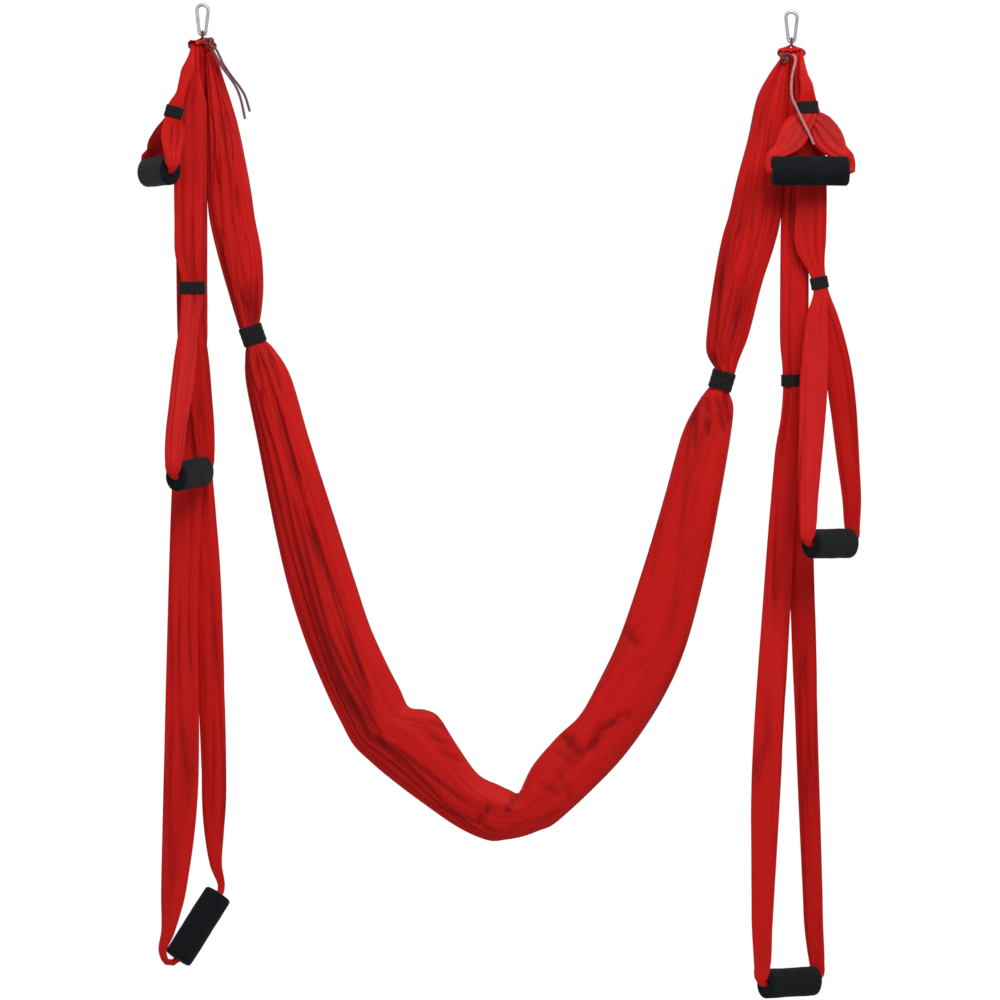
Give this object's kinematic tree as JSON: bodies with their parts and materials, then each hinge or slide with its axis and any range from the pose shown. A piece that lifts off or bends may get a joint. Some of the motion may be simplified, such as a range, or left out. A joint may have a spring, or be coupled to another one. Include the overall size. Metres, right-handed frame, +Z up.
{
  "type": "aerial hammock",
  "caption": "Gathered fabric hammock hung in a U between snap hooks, with looped handle straps of several lengths that end in foam grips.",
  "frame": {"origin": "left hang point: inner top of the left snap hook's eye", "axes": "+X towards the right hang point, +Y away from whoever faces the hammock, +Z up"},
  "size_m": [1.0884, 0.2016, 1.4922],
  "materials": {
    "nylon": "satin",
    "foam": "matte",
    "webbing": "matte",
    "steel": "zinc plated, bright",
    "left_cord": "braided, mottled",
    "right_cord": "braided, pinkish"
  },
  "bodies": {
    "anchors": {"left_hook_body": "steel", "left_gate_pin": "steel", "right_hook_body": "steel", "right_gate_pin": "steel"},
    "left_gate": {"left_gate": "steel", "left_latch_pin": "steel", "left_gate_spring": "steel"},
    "right_gate": {"right_gate": "steel", "right_latch_pin": "steel", "right_gate_spring": "steel"},
    "sling": {"hammock_cloth": "nylon", "left_cord_ring": "left_cord", "left_cord_knot": "left_cord", "left_hem_sleeve": "nylon", "left_main_band": "webbing", "right_cord_ring": "right_cord", "right_cord_knot": "right_cord", "right_hem_sleeve": "nylon", "right_main_band": "webbing", "left_cord_tail_long": "left_cord", "left_cord_tail_short": "left_cord"},
    "left_short_strap": {"left_short_strap": "nylon", "left_short_band": "webbing"},
    "left_short_grip": {"left_short_grip": "foam"},
    "left_mid_strap": {"left_mid_strap": "nylon", "left_mid_band": "webbing"},
    "left_mid_grip": {"left_mid_grip": "foam"},
    "left_long_strap": {"left_long_strap": "nylon", "left_long_band": "webbing"},
    "left_long_grip": {"left_long_grip": "foam"},
    "right_short_strap": {"right_short_strap": "nylon", "right_short_band": "webbing", "right_cord_tail": "right_cord"},
    "right_short_grip": {"right_short_grip": "foam"},
    "right_mid_strap": {"right_mid_strap": "nylon", "right_mid_band": "webbing"},
    "right_mid_grip": {"right_mid_grip": "foam"},
    "right_long_strap": {"right_long_strap": "nylon", "right_long_band": "webbing"},
    "right_long_grip": {"right_long_grip": "foam"}
  },
  "joints": [
    {"name": "left_gate_hinge", "type": "hinge", "parent": "anchors", "child": "left_gate", "pos_m": [0.00598, 0, -0.029], "axis": [0, -1, 0], "range_deg": [0, 28], "stiffness_Nm_per_rad": 0.03, "springref_deg": -20.05},
    {"name": "right_gate_hinge", "type": "hinge", "parent": "anchors", "child": "right_gate", "pos_m": [0.88948, 0, -0.0395], "axis": [0, -1, 0], "range_deg": [0, 28], "stiffness_Nm_per_rad": 0.03, "springref_deg": -20.05},
    {"name": "sling_swing", "type": "hinge", "parent": "anchors", "child": "sling", "pos_m": [0, 0, -0.0425], "axis": [0.9999, 0, -0.0119], "range_deg": [-45, 45]},
    {"name": "left_mid_strap_swing", "type": "hinge", "parent": "sling", "child": "left_mid_strap", "pos_m": [-0.0078, 0, -0.0623], "axis": [1, 0, 0], "range_deg": [-60, 0]},
    {"name": "left_short_strap_swing", "type": "hinge", "parent": "left_mid_strap", "child": "left_short_strap", "pos_m": [-0.0142, 0, -0.0623], "axis": [1, 0, 0], "range_deg": [-30, 0]},
    {"name": "left_long_strap_swing", "type": "hinge", "parent": "sling", "child": "left_long_strap", "pos_m": [-0.0014, 0, -0.0623], "axis": [1, 0, 0], "range_deg": [0, 60]},
    {"name": "left_short_grip_spin", "type": "hinge", "parent": "left_short_strap", "child": "left_short_grip", "pos_m": [-0.0645, -0.026, -0.2482], "axis": [0.342, -0.9397, 0], "continuous": true},
    {"name": "left_mid_grip_spin", "type": "hinge", "parent": "left_mid_strap", "child": "left_mid_grip", "pos_m": [-0.0165, -0.06, -0.7012], "axis": [-0.3412, -0.9374, -0.0698], "continuous": true},
    {"name": "left_long_grip_spin", "type": "hinge", "parent": "left_long_strap", "child": "left_long_grip", "pos_m": [-0.0075, 0.027, -1.3808], "axis": [-0.5255, -0.1913, -0.829], "continuous": true},
    {"name": "right_mid_strap_swing", "type": "hinge", "parent": "sling", "child": "right_mid_strap", "pos_m": [0.8913, 0, -0.0728], "axis": [1, 0, 0], "range_deg": [-60, 0]},
    {"name": "right_short_strap_swing", "type": "hinge", "parent": "right_mid_strap", "child": "right_short_strap", "pos_m": [0.8977, 0, -0.0728], "axis": [1, 0, 0], "range_deg": [-30, 0]},
    {"name": "right_long_strap_swing", "type": "hinge", "parent": "sling", "child": "right_long_strap", "pos_m": [0.8849, 0, -0.0728], "axis": [1, 0, 0], "range_deg": [0, 60]},
    {"name": "right_short_grip_spin", "type": "hinge", "parent": "right_short_strap", "child": "right_short_grip", "pos_m": [0.9097, -0.048, -0.2483], "axis": [-0.9848, -0.1736, 0], "continuous": true},
    {"name": "right_mid_grip_spin", "type": "hinge", "parent": "right_mid_strap", "child": "right_mid_grip", "pos_m": [0.9405, -0.027, -0.8055], "axis": [-0.5446, -0.8387, 0], "continuous": true},
    {"name": "right_long_grip_spin", "type": "hinge", "parent": "right_long_strap", "child": "right_long_grip", "pos_m": [0.8815, 0.02, -1.4647], "axis": [-0.6691, -0.7431, 0], "continuous": true}
  ]
}
